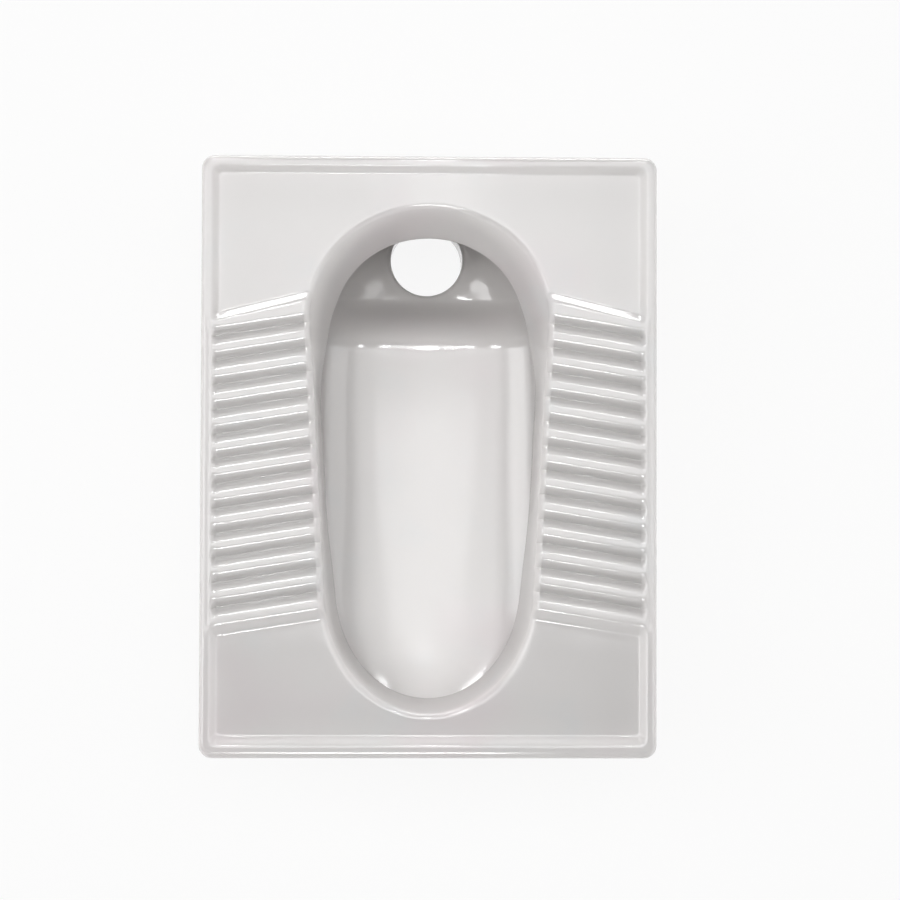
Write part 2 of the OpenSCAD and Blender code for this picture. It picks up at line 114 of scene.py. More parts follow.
def smooth(v):
    """3v² - 2v³, with v held between 0 and 1."""
    v = np.clip(v, 0, 1)
    return v * v * (3 - 2 * v)


def mix(a, b, share):
    """Value at a share of the way from a to b."""
    return a + (b - a) * share


def put_z(plan, z):
    """Plan points with a height each."""
    return np.concatenate([plan, np.broadcast_to(z, plan.shape[:-1])[..., None]], axis=-1)


# ---- the opening's edge -------------------------------------------------------------------------------
def head_edge(angle):
    """Half ellipse of the outlet end: (rx cos a, yc + ry sin a)."""
    return np.stack([HEAD_RX * np.cos(angle), HEAD_Y + HEAD_RY * np.sin(angle)], axis=-1)


def front_edge(angle):
    """Half ellipse of the shallow end: (rx cos a, yc + ry sin a)."""
    return np.stack([FRONT_RX * np.cos(angle), FRONT_Y + FRONT_RY * np.sin(angle)], axis=-1)


SIDE_TOP, SIDE_BOTTOM = head_edge(np.array(HEAD_A)), front_edge(np.array(FRONT_A))


def edge_x(y):
    """Half width of the opening at y: an ellipse at each end, a straight tapering side between."""
    head = HEAD_RX * np.sqrt(np.maximum(0, 1 - ((y - HEAD_Y) / HEAD_RY) ** 2))
    front = FRONT_RX * np.sqrt(np.maximum(0, 1 - ((y - FRONT_Y) / FRONT_RY) ** 2))
    side = mix(SIDE_BOTTOM[0], SIDE_TOP[0], (y - SIDE_BOTTOM[1]) / (SIDE_TOP[1] - SIDE_BOTTOM[1]))
    return np.where(y >= SIDE_TOP[1], head, np.where(y <= SIDE_BOTTOM[1], front, side))


def edge_normal(p):
    """Unit direction away from the opening: the gradient of the ellipse, or square to the side."""
    x, y = p[..., 0], p[..., 1]
    head = np.stack([x / HEAD_RX ** 2, (y - HEAD_Y) / HEAD_RY ** 2], axis=-1)
    front = np.stack([x / FRONT_RX ** 2, (y - FRONT_Y) / FRONT_RY ** 2], axis=-1)
    side = np.stack([np.where(x < 0, -1.0, 1.0), np.full_like(x, -TAPER)], axis=-1)
    n = np.where((y <= SIDE_BOTTOM[1])[..., None], front, side)
    n = np.where((y >= SIDE_TOP[1])[..., None], head, n)
    return n / np.linalg.norm(n, axis=-1, keepdims=True)


def off_edge(p, distance):
    """Point at a distance out from the edge, along its normal."""
    return p + edge_normal(p) * np.asarray(distance)[..., None]


def along_edge(y, side, head, front, head_from, head_run, front_from, front_run):
    """Value that blends smoothly from the middle of the edge to each of its two ends."""
    return (side + (head - side) * smooth((y - head_from) / head_run)
            + (front - side) * smooth((front_from - y) / front_run))


def rim_lean(y):
    """How far the rim wall leans in over the bowl."""
    return along_edge(y, side=5.5, head=23, front=11,
                      head_from=55, head_run=120, front_from=-40, front_run=125)


def ring_out(y):
    """Distance from the edge out to the inside of the rim's outer wall."""
    return along_edge(y, side=24, head=17, front=16,
                      head_from=60, head_run=140, front_from=-120, front_run=110)


EDGE_QUARTER, EDGE_SIDE = 16, 14
EDGE_STEPS = 4 * EDGE_QUARTER + 2 * EDGE_SIDE


def edge_at(u):
    """Point of the edge at a step u of EDGE_STEPS: equal turns round each end, equal steps along
    each side, from the shallow end up the right-hand side and down the left-hand one."""
    u = np.mod(u, EDGE_STEPS)
    half = EDGE_STEPS / 2
    v = np.where(u > half, EDGE_STEPS - u, u)
    turn_front = mix(-QUARTER, FRONT_A, np.clip(v / EDGE_QUARTER, 0, 1))
    turn_head = mix(HEAD_A, QUARTER, np.clip((v - EDGE_QUARTER - EDGE_SIDE) / EDGE_QUARTER, 0, 1))
    side = mix(SIDE_BOTTOM, SIDE_TOP, np.clip((v - EDGE_QUARTER) / EDGE_SIDE, 0, 1)[..., None])
    p = np.where((v < EDGE_QUARTER)[..., None], front_edge(turn_front),
                 np.where((v > EDGE_QUARTER + EDGE_SIDE)[..., None], head_edge(turn_head), side))
    return p * np.stack([np.where(u > half, -1.0, 1.0), np.ones_like(u)], axis=-1)


def even_edge(count):
    """Steps u at which points of the edge lie at equal distances along it."""
    fine = np.linspace(0, EDGE_STEPS, 4001)
    length = np.concatenate([[0], np.cumsum(np.linalg.norm(np.diff(edge_at(fine), axis=0), axis=1))])
    return np.interp(np.arange(count) / count * length[-1], length, fine)


# ---- meshes -------------------------------------------------------------------------------------------
def ring_faces(rows, columns, close_rows=True, close_columns=True):
    """Four-cornered faces of a grid of points, closed round on itself in one or both ways."""
    i = np.arange(rows if close_rows else rows - 1)[:, None]
    j = np.arange(columns if close_columns else columns - 1)[None, :]
    corners = [(i, j), (i, j + 1), (i + 1, j + 1), (i + 1, j)]
    return np.stack([(a % rows) * columns + b % columns for a, b in corners], axis=-1).reshape(-1, 4)


def weld(points, faces, *values):
    """Points that share a place become one; faces that lose their area go."""
    _, first, place = np.unique(np.round(points, 3), axis=0, return_index=True, return_inverse=True)
    faces = place.reshape(-1)[faces]
    edges = [faces[:, k] != faces[:, (k + 1) % 4] for k in range(4)]
    return (points[first], faces[np.sum(edges, axis=0) == 4]) + tuple(v[first] for v in values)


def facing_out(points, faces):
    """Faces turned so that the closed mesh has a positive volume."""
    a, b, c, d = (points[faces[:, k]] for k in range(4))
    volume = np.sum(a * np.cross(b, c)) + np.sum(a * np.cross(c, d))
    return faces if volume > 0 else faces[:, ::-1]


def make_piece(name, node, material, parts):
    """A piece from closed grids of points, each with its faces and its glaze attribute: the distance from
    the glaze's line in millimetres, above 0 where the glaze covers the body and below 0 where the
    body is bare. From GLAZED up it says instead how much painted shade greys the glaze."""
    points = np.concatenate([p for p, _, _ in parts])
    starts = np.cumsum([0] + [len(p) for p, _, _ in parts[:-1]])
    faces = np.concatenate([facing_out(p, f) + start for (p, f, _), start in zip(parts, starts)])
    mesh = bpy.data.meshes.new(name)
    mesh.from_pydata(points * 0.001, [], faces)
    mesh.polygons.foreach_set("use_smooth", np.ones(len(faces), dtype=bool))
    mesh.set_sharp_from_angle(angle=math.radians(50))
    glaze = mesh.attributes.new("glaze_edge_and_shade", "FLOAT", "POINT")
    glaze.data.foreach_set("value", np.concatenate([g for _, _, g in parts]).astype(np.float32))
    mesh.materials.append(material)
    mesh.validate()
    piece = bpy.data.objects.new(name, mesh)
    bpy.context.scene.collection.objects.link(piece)
    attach(piece, "root")
    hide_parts(node)


# ---- foot plate -----------------------------------------------------------------------------------------
SHALLOW_EDGE, SHALLOW_CORNER, SHALLOW_SIDE, TREAD_SIDE, OUTLET_SIDE, OUTLET_CORNER, OUTLET_EDGE = range(7)


def tread_line_edge(y0, fall):
    """Where tread lines y = y0 - fall (x - TREAD_X) meet the edge, found in a few steps."""
    y = y0
    for _ in range(8):
        y = y0 - fall * (edge_x(y) - TREAD_X)
    return np.stack([edge_x(y), y], axis=-1)


def tread_lines():
    """Lines of the treads from the shallow end to the outlet end, as y0 and fall: closest together
    over the shoulders of the ridges."""
    shoulder = np.array([0.006, 0.04, 0.1, 0.18, 0.26, 0.34, 0.4, 0.44, 0.49])
    across = np.concatenate([-shoulder[::-1], shoulder]) * GROOVE_W
    flat = (PITCH - GROOVE_W) * np.array([0.25, 0.5, 0.75]) + GROOVE_W / 2
    bottoms = FIRST_GROOVE_Y - PITCH * np.arange(GROOVES)[::-1]
    grooves = (bottoms[:, None] + np.concatenate([across, flat])[None, :]).ravel()
    drop = mix(DROP_FOOT_Y, DROP_CREST_Y, np.linspace(0, 1, 12))
    last_flat = mix(drop[-1], grooves[0], np.array([0.25, 0.5, 0.75]))
    crest = grooves < FIRST_GROOVE_Y + GROOVE_W / 2 + 1
    step = mix(STEP_CREST_Y, STEP_FOOT_Y, np.linspace(0, 1, 12))
    run_up = mix(FIRST_GROOVE_Y + GROOVE_W / 2, STEP_CREST_Y, np.array([0.2, 0.4, 0.6, 0.8]))
    y0 = np.concatenate([drop, last_flat, grooves[crest], run_up, step])
    first = FIRST_GROOVE_Y + GROOVE_W / 2
    fall = mix(RIDGE_FALL, STEP_FALL, np.clip((y0 - first) / (STEP_CREST_Y - first), 0, 1))
    return y0, fall


def plate_rows():
    """Rows of the right-hand half, from the middle of the shallow end round to the middle of the
    outlet end: kind of outline, value along it, fall of the line, point of the opening's edge."""
    y0, fall = tread_lines()
    inner = tread_line_edge(y0, fall)
    first_a = -math.acos(inner[0, 0] / FRONT_RX)
    last_a = math.acos(inner[-1, 0] / HEAD_RX)
    f = np.concatenate([np.arange(22) / 22 * 6, 6 + np.arange(10) / 10 * 3,
                        9 + np.arange(12) / 12 * 3])
    shallow_kind = np.select([f < 6, f < 9], [SHALLOW_EDGE, SHALLOW_CORNER], SHALLOW_SIDE)
    shallow_value = np.select(
        [f < 6, f < 9],
        [np.interp(f, [0, 1, 2, 3, 4, 5, 6], [0, 0.2, 0.4, 0.6, 0.78, 0.91, 1]), (f - 6) / 3 * QUARTER],
        np.interp(f, [9, 10, 11, 12], [0, 0.25, 0.6, 1]))
    g = np.concatenate([np.arange(1, 12) / 12 * 3, 3 + np.arange(10) / 10 * 3,
                        6 + np.arange(35) / 34 * 8])
    outlet_kind = np.select([g < 3, g < 6], [OUTLET_SIDE, OUTLET_CORNER], OUTLET_EDGE)
    outlet_value = np.select(
        [g < 3, g < 6],
        [np.interp(g, [0, 1, 2, 3], [0, 0.4, 0.75, 1]), (g - 3) / 3 * QUARTER],
        np.interp(g, np.arange(6, 15), [1, 0.88, 0.72, 0.52, 0.36, 0.2, 0.155, 0.11, 0]))
    kind = np.concatenate([shallow_kind, np.full(len(y0), TREAD_SIDE), outlet_kind])
    value = np.concatenate([shallow_value, y0, outlet_value])
    falls = np.concatenate([np.zeros(len(f)), fall, np.zeros(len(g))])
    shallow_end = front_edge(mix(-QUARTER, first_a, f / 12))
    outlet_end = head_edge(mix(last_a, QUARTER, g / 14))
    return kind, value, falls, np.concatenate([shallow_end, inner, outlet_end])


def outline(kind, value, falls, n):
    """Plan point of every row at insets n from the plate's side: a rectangle whose corner radius
    shrinks with n, entered at a share of an edge, an angle of a corner or a tread line."""
    kind, value, falls = kind[:, None], value[:, None], falls[:, None]
    n = np.broadcast_to(np.asarray(n, float), (len(kind), np.shape(n)[-1]))
    r = np.maximum(CORNER_R - n / 2, INNER_CORNER_R)
    hx, hy, sy = DECK_W / 2 - n, DECK_L / 2 - n, DECK_L / 2 - n * SHALLOW_BORDER_W / BORDER_W
    first = DROP_FOOT_Y - RIDGE_FALL * (hx - TREAD_X)
    last = STEP_FOOT_Y - STEP_FALL * (hx - TREAD_X)
    kinds = [kind == k for k in range(6)]
    along_end = value * (hx - r)
    x = np.select(kinds, [along_end, hx - r + r * np.sin(value), hx, hx, hx,
                          hx - r + r * np.cos(value)], along_end)
    y = np.select(kinds, [-sy, -sy + r - r * np.cos(value), mix(r - sy, first, value),
                          value - falls * (hx - TREAD_X), mix(last, hy - r, value),
                          hy - r + r * np.sin(value)], hy)
    return np.stack([x, y], axis=-1)


def groove_share(p):
    """Share of a groove's full depth: a valley, 1 - hypot(d, VALLEY_ROUND) with d from 0 in its middle
    to 1 at its shoulders, scaled to run from 1 to 0, to the power VALLEY_POWER so that it starts
    gently. Towards the side of the plate the groove flares and fades out, so the ridges end round."""
    x, along = np.abs(p[..., 0]), tread_along(p)
    nearest = np.clip(np.round((FIRST_GROOVE_Y - along) / PITCH), 0, GROOVES - 1)
    across = along - FIRST_GROOVE_Y + nearest * PITCH
    half = GROOVE_W / 2 + FLARE * smooth((x - FLARE_X) / FLARE_RUN)
    fade = 1 - smooth((x - FADE_X) / FADE_RUN)
    slope = np.hypot(np.clip(np.abs(across) / half, 0, 1), VALLEY_ROUND) - VALLEY_ROUND
    valley = 1 - slope / (math.hypot(1, VALLEY_ROUND) - VALLEY_ROUND)
    return raised_share(p) * fade * valley ** VALLEY_POWER


def tread_along(p):
    """Place of a point along Y once the slant of the ridges is taken out."""
    return p[..., 1] + RIDGE_FALL * (np.abs(p[..., 0]) - TREAD_X)


def raised_share(p):
    """1 over the treads, with a smooth rise from each end deck."""
    ahead = STEP_FOOT_Y - p[..., 1] - STEP_FALL * (np.abs(p[..., 0]) - TREAD_X)
    return (ramp(ahead / (STEP_FOOT_Y - STEP_CREST_Y))
            * smooth((tread_along(p) - DROP_FOOT_Y) / (DROP_CREST_Y - DROP_FOOT_Y)))


def top_height(p, border):
    """Height of the plate's top: the deck's, plus the ridges' over the treads, blended up to the crest
    by the border's share, less the grooves' depth and a faint dip between the ridges' ends and the
    crest. The dip is a bell curve across, exp(-(distance / DIP_W)²), and lies DIP_SHIFT further out
    beyond the first groove."""
    along = tread_along(p)
    treads = smooth((STEP_CREST_Y - along) / 9) * smooth((along - DROP_CREST_Y + 6) / 9)
    middle = DIP_X + DIP_SHIFT * smooth((along - FIRST_GROOVE_Y - 3) / 8)
    dip = DIP * treads * np.exp(-((np.abs(p[..., 0]) - middle) / DIP_W) ** 2)
    top = mix(DECK_Z + RIDGE_H * raised_share(p), CREST_Z, border)
    return top - GROOVE_DEPTH * groove_share(p) - dip


def skirt_edge(p):
    """Lower edge of the skirt: level, with a notch for the flush pipe at the outlet end."""
    notched = mix(UNDER_Z - 0.5, SKIRT_Z, smooth((np.abs(p[..., 0]) - 30) / 12))
    return np.where(p[..., 1] < DECK_L / 4, SKIRT_Z, notched)


SKIRT_ROUND = 2.5
CREST_ROUND_W, CREST_ROUND_H = 5.0, 6.0
BACK_OUT = 13.0         # where the back of the rim wall meets the underside


def plate_sections():
    """Closed section of the plate at every row: up the skirt, over the border and the deck, round
    the rolled edge, down the leaning rim wall, round its lip, and back along the underside."""
    rows = plate_rows()
    edge = rows[3]
    count = len(edge)
    low = skirt_edge(outline(*rows[:3], np.zeros(1))[:, 0])[:, None]
    tall = UNDER_Z - low
    blocks, glaze = [], []

    def add(plan, z, g):
        blocks.append(put_z(plan, np.broadcast_to(z, plan.shape[:2])))
        glaze.append(np.broadcast_to(g, plan.shape[:2]))

    def add_inset(n, z, g):
        add(outline(*rows[:3], n), z, g)

    t = np.linspace(0, 1, 4)[None, :] * QUARTER
    add_inset((SKIRT_ROUND * (1 - np.sin(t)))[0], low + SKIRT_ROUND * (1 - np.cos(t)), -4)
    z = mix(low + SKIRT_ROUND, CREST_Z - CREST_ROUND_H, np.array([0.12, 0.3, 0.5, 0.75]))
    add_inset(np.zeros(4), z, z - low - 6)
    t = np.linspace(0, 1, 9)[None, :] * QUARTER
    add_inset((CREST_ROUND_W * (1 - np.cos(t)))[0], CREST_Z + CREST_ROUND_H * (np.sin(t) - 1), 30)
    n = np.arange(CREST_ROUND_W + 1, BORDER_W + 1)
    plan = outline(*rows[:3], n)
    share = 1 - smooth((n - BORDER_W / 2) / (BORDER_W / 2))
    # painted shade: over the top and the roll down to the edge, the glaze greys with the grooves' depth
    add(plan, top_height(plan, share), GLAZED + PAINTED_SHADE_SPAN * groove_share(plan))
    f = np.array([0.012, 0.025, 0.04, 0.06, 0.09, 0.14, 0.22, 0.32,
                  0.44, 0.56, 0.68, 0.78, 0.86, 0.92, 0.965, 1])
    roll_start = off_edge(edge, np.full(count, EDGE_R))
    plan = mix(plan[:, -1:], roll_start[:, None], f[None, :, None])
    add(plan, top_height(plan, 0), GLAZED + PAINTED_SHADE_SPAN * groove_share(plan))

    # rolled edge and lip: circles of EDGE_R and NOSE_R with a common tangent between them
    lean = rim_lean(edge[:, 1])[:, None]
    run, fall = lean + EDGE_R - NOSE_R, DECK_Z - EDGE_R - LIP_Z - NOSE_R
    wall_a = np.arctan2(run, fall) - np.arcsin((EDGE_R - NOSE_R) / np.hypot(run, fall))
    turn = (QUARTER - wall_a) * np.linspace(0, 1, 10)[None, 1:]
    bulge = top_height(roll_start, 0)[:, None] - DECK_Z
    add(off_edge(edge[:, None], EDGE_R - EDGE_R * np.sin(turn)),
        DECK_Z - EDGE_R + EDGE_R * np.cos(turn)
        + bulge * np.cos(turn / (QUARTER - wall_a) * QUARTER), GLAZED)
    share = np.array([0.12, 0.3, 0.5, 0.7, 0.88])[None, :]
    top, foot = EDGE_R - EDGE_R * np.cos(wall_a), NOSE_R - lean - NOSE_R * np.cos(wall_a)
    top_z = DECK_Z - EDGE_R + EDGE_R * np.sin(wall_a)
    foot_z = LIP_Z + NOSE_R + NOSE_R * np.sin(wall_a)
    add(off_edge(edge[:, None], mix(top, foot, share)), mix(top_z, foot_z, share), GLAZED)
    turn = mix(wall_a, -QUARTER, np.linspace(0, 1, 9)[None, :])
    add(off_edge(edge[:, None], NOSE_R - lean - NOSE_R * np.cos(turn)),
        LIP_Z + NOSE_R + NOSE_R * np.sin(turn), 40)

    # back of the rim wall, underside, inside of the skirt
    out = np.concatenate([6 - lean, 6 - lean, 8 - lean, mix(8 - lean, 9, 0.5), 9 + 0 * lean,
                          BACK_OUT + 0 * lean], axis=1)
    z = np.array([LIP_Z, 171, 173, 191, 209, UNDER_Z])
    add(off_edge(edge[:, None], out), z, np.array([8, 8, 8, 6, 4, -6]))
    fillet = np.minimum(4, 0.4 * tall)
    t = np.linspace(0, 1, 4)[None, :] * QUARTER
    bend = SKIRT_T + fillet * (1 - np.sin(t))
    corner = outline(*rows[:3], bend)
    under = off_edge(edge, np.full(count, BACK_OUT))
    share = np.array([0.15, 0.32, 0.5, 0.68, 0.85])
    add(mix(under[:, None], corner[:, :1], share[None, :, None]), UNDER_Z, BARE)
    add(corner, UNDER_Z - fillet * (1 - np.cos(t)), BARE)
    foot_r = np.minimum(SKIRT_ROUND, 0.4 * tall)
    share = np.array([0.25, 0.5, 0.75, 0.9])
    add_inset(np.full(4, SKIRT_T), mix(UNDER_Z - fillet, low + foot_r, share), BARE)
    add_inset(SKIRT_T - foot_r * (1 - np.cos(t)), low + foot_r * (1 - np.sin(t)), -20)
    right, glaze = np.concatenate(blocks, axis=1), np.concatenate(glaze, axis=1)
    left = right[-2:0:-1] * np.array([-1, 1, 1])
    return np.concatenate([right, left]), np.concatenate([glaze, glaze[-2:0:-1]])


def foot_plate():
    """The plate's sections carried round the opening as one closed ring."""
    points, glaze = plate_sections()
    return points.reshape(-1, 3), ring_faces(*points.shape[:2]), glaze.ravel()


# ---- flushing rim -----------------------------------------------------------------------------------------
SPRAY_HOLES = 28
SPRAY_R = 3.5
SHELF_IN = 6.0          # the shelf starts this far behind the lip


def frame_points(steps):
    """Points round a square of half side 1, with a number of steps along each side."""
    s = np.linspace(-1, 1, steps + 1)[:-1]
    one = np.ones_like(s)
    return np.concatenate([np.stack([s, -one], -1), np.stack([one, s], -1),
                           np.stack([-s, one], -1), np.stack([-one, -s], -1)])


def open_sides(square, depth):
    """Faces that close a cell on the two sides where no neighbour joins it."""
    following = np.roll(square, -1, axis=0)
    k = np.flatnonzero((square[:, 1] == following[:, 1]) & (np.abs(square[:, 1]) == 1))
    after = (k + 1) % len(square)
    return np.stack([k * depth + depth - 1, k * depth, after * depth, after * depth + depth - 1], -1)


def spray_shelf():
    """A cell round each spray hole: its points run from the hole's circle out to the cell's four
    sides, once for the underside and once for the top, and the cells join side to side."""
    hole = np.floor((np.arange(SPRAY_HOLES) + 0.5) / SPRAY_HOLES * EDGE_STEPS + 0.5)
    following = np.roll(hole, -1) + np.where(np.arange(SPRAY_HOLES) == SPRAY_HOLES - 1, EDGE_STEPS, 0)
    end = (hole + following) / 2
    start = np.roll(end, 1) - np.where(np.arange(SPRAY_HOLES) == 0, EDGE_STEPS, 0)
    square = frame_points(8)
    s, r = square[None, :, 0], square[None, :, 1]
    u = np.where(s < 0, mix(start[:, None], hole[:, None], s + 1), mix(hole[:, None], end[:, None], s))
    side = edge_at(u)
    inner, outer = SHELF_IN - rim_lean(side[..., 1]), ring_out(side[..., 1]) + RIM_T - 0.3
    rim = off_edge(side, mix(inner, outer, (r + 1) / 2))
    base = edge_at(hole)
    middle = off_edge(base, (ring_out(base[:, 1]) + RIM_T - rim_lean(base[:, 1])) / 2)
    normal = edge_normal(base)
    tangent = np.stack([-normal[:, 1], normal[:, 0]], axis=-1)
    turn = np.arctan2(r, s)[..., None]
    spoke = np.cos(turn) * tangent[:, None] + np.sin(turn) * normal[:, None]
    # share of the way out to the cell's sides, how much wider than the hole, height
    section = [(1.0, 1.0, LIP_Z), (0.5, 1.0, LIP_Z), (0.15, 1.0, LIP_Z),
               (0, 1.22, LIP_Z), (0, 1.07, LIP_Z + 0.3), (0, 1.0, LIP_Z + 0.9),
               (0, 1.0, SHELF_Z), (0.5, 1.0, SHELF_Z), (1.0, 1.0, SHELF_Z)]
    rings = []
    for share, widen, z in section:
        circle = middle[:, None] + spoke * SPRAY_R * widen
        rings.append(put_z(mix(circle, rim, share), z))
    grid = np.stack(rings, axis=2)
    cells, around, depth = grid.shape[:3]
    faces = ring_faces(around, depth, close_columns=False)
    cell_faces = np.concatenate([faces, open_sides(square, depth)])
    faces = (cell_faces[None] + np.arange(cells)[:, None, None] * around * depth).reshape(-1, 4)
    points = grid.reshape(-1, 3)
    return weld(points, faces, np.full(len(points), 12.0))


INLET_Z = 189.5
INLET_R, INLET_OUT_R = 16.0, 22.0
INLET_END_Y = 297.0
WALL_ROUND = 1.6        # rounding of the outer wall's lower edge


def rim_outer_wall():
    """The channel's outer wall: its section carried round the edge, and round the inlet a cell
    whose points run from the hole's circle to the cell's four sides."""
    z_low, z_high = SHELF_Z - 6.4, UNDER_Z + 0.3
    u = even_edge(260)
    half = EDGE_STEPS / 2
    cell_u = 4.0
    u = u[np.abs(u - half) > cell_u + 0.1]
    u = np.sort(np.concatenate([u, [half - cell_u, half + cell_u]]))
    order = np.argsort(np.mod(u - half - cell_u + 1e-9, EDGE_STEPS))
    u = u[order]
    steps = 10
    z = mix(z_low, z_high, np.linspace(0, 1, steps + 1))
    base = edge_at(u)
    r_in, r_out = ring_out(base[:, 1])[:, None], ring_out(base[:, 1])[:, None] + RIM_T
    edge_round = np.where(np.arange(steps + 1) == 0, WALL_ROUND, 0.0)
    outer = put_z(off_edge(base[:, None], r_out - edge_round[None, :]), z[None, :])
    inner = put_z(off_edge(base[:, None], r_in + 0 * z[None, :]), z[None, ::-1])
    strip = np.concatenate([outer, inner], axis=1)
    faces = ring_faces(*strip.shape[:2], close_rows=False)

    square = frame_points(steps)
    cell_base = edge_at(half + cell_u * square[:, 0])
    cell_z = mix(z_low, z_high, (square[:, 1] + 1) / 2)
    hole_r = INLET_OUT_R - 2.5
    apex = edge_at(np.array([half]))
    turn = np.arctan2(cell_z - INLET_Z, cell_base[:, 0])
    hole_x, hole_z = hole_r * np.cos(turn), INLET_Z + hole_r * np.sin(turn)
    rings = []
    for side, shares in ((1, (1, 0.6, 0.25, 0)), (0, (0, 0.25, 0.6, 1))):
        for share in shares:
            lower = (square[:, 1] == -1) & (share == 1)
            out = ring_out(cell_base[:, 1]) + RIM_T * side - np.where(lower, WALL_ROUND * side, 0)
            rim = off_edge(cell_base, out)
            circle_y = apex[0, 1] + ring_out(apex[0, 1]) + RIM_T * side - hole_x ** 2 / 2 / HEAD_RX
            at = np.stack([mix(hole_x, rim[:, 0], share), mix(circle_y, rim[:, 1], share),
                           mix(hole_z, cell_z, share)], axis=-1)
            rings.append(at)
    cell = np.stack(rings, axis=1)
    around, depth = cell.shape[:2]
    cell_faces = ring_faces(around, depth, close_columns=False)
    points = np.concatenate([strip.reshape(-1, 3), cell.reshape(-1, 3)])
    cell_faces = np.concatenate([cell_faces, open_sides(square, depth)])
    cell_faces = cell_faces + strip.shape[0] * strip.shape[1]
    faces = np.concatenate([facing_out(points, faces), facing_out(points, cell_faces)])
    return weld(points, faces, np.full(len(points), -12.0))


# ---- bowl -----------------------------------------------------------------------------------------------
FUNNEL_RISE, FUNNEL_RUN = 6.0, 20.0
MOUTH_TILT = math.atan(FUNNEL_RISE / FUNNEL_RUN)
WALL_EDGE = edge_at(np.linspace(0, EDGE_STEPS / 2, 4000))
GAUGE_WIDER = 24.0
GAUGE_HEAD_RUN, GAUGE_FRONT_RUN = 127.8, 407.4
CLEAR_RUN = 60.0
# painted shade in the sump: the height below which it starts, and the depth over which it grows full
PAINTED_SHADE_TOP_Z, PAINTED_SHADE_DEPTH = 118.0, 50.0


def sump_share(y):
    """0 along the trough, 1 in the sump: a smooth step of the fall's share to the power FALL_POWER."""
    return smooth(np.clip((y - OUTLET_Y + FALL_START) / FALL_RUN, 0, 1) ** FALL_POWER)


def trough_drop(y):
    """Depth of the floor's middle line: a gentle fall, then a smooth steep one into the sump."""
    share = np.clip((y - TROUGH_START_Y) / TROUGH_RUN, 0, 1)
    gentle = mix(TROUGH_FRONT_DEPTH, TROUGH_REAR_DEPTH, share)
    return mix(gentle, DECK_Z - SUMP_Z, sump_share(y))


def out_gauge(x, y):
    """How far out a point lies: (|x| / half width) to the power 2.4, plus the same along Y with
    power 2 towards the outlet end and 4.6 towards the shallow end. About 1 at the wall."""
    half = mix(FRONT_RX, HEAD_RX, smooth((y - FRONT_Y) / (HEAD_Y - FRONT_Y))) + GAUGE_WIDER
    head = (np.maximum(y - HEAD_Y, 0) / GAUGE_HEAD_RUN) ** 2
    front = (np.maximum(HEAD_Y - y, 0) / GAUGE_FRONT_RUN) ** 4.6
    return (np.abs(x) / half) ** 2.4 + head + front


def bowl_height(p, out, flat_r, drop):
    """Height of a skin of the bowl whose wall stands at a distance out beyond the rim's channel.
    From the floor's height it rises to the lip by the square of the gauge's share of its value
    at the wall, times a smooth start beyond the radius flat_r. Round the outlet the sump is a
    funnel: it rises by FUNNEL_RISE times one less the exponential of minus distance / FUNNEL_RUN."""
    x, y = np.abs(p[..., 0]), p[..., 1]
    wall = off_edge(WALL_EDGE, ring_out(WALL_EDGE[:, 1]) + out)
    order = np.argsort(wall[:, 1])
    wall_x, wall_y = np.interp(y, wall[order, 1], wall[order, 0]), y
    for centre, in_end in ((HEAD_Y, y > HEAD_Y), (FRONT_Y, y < FRONT_Y)):
        angle = np.arctan2(wall[:, 1] - centre, wall[:, 0])
        order = np.argsort(angle)
        here = np.arctan2(y - centre, np.maximum(x, 1e-6))
        reach = np.interp(here, angle[order], np.hypot(wall[:, 0], wall[:, 1] - centre)[order])
        wall_x = np.where(in_end, reach * np.cos(here), wall_x)
        wall_y = np.where(in_end, centre + reach * np.sin(here), wall_y)
    rise = np.minimum(1, out_gauge(x, y) / out_gauge(wall_x, wall_y)) ** 2
    gap = np.hypot(wall_x, wall_y - OUTLET_Y) - flat_r
    beyond = np.hypot(x, y - OUTLET_Y) - flat_r
    clear = smooth(beyond / np.minimum(CLEAR_RUN, 0.9 * gap))
    shifted = y + flat_r - OUTLET_R - OUTLET_ROUND
    funnel = FUNNEL_RISE * (1 - np.exp(-beyond / FUNNEL_RUN))
    floor = DECK_Z - trough_drop(shifted) - drop + funnel * sump_share(shifted)
    return mix(floor, LIP_Z, rise * clear)


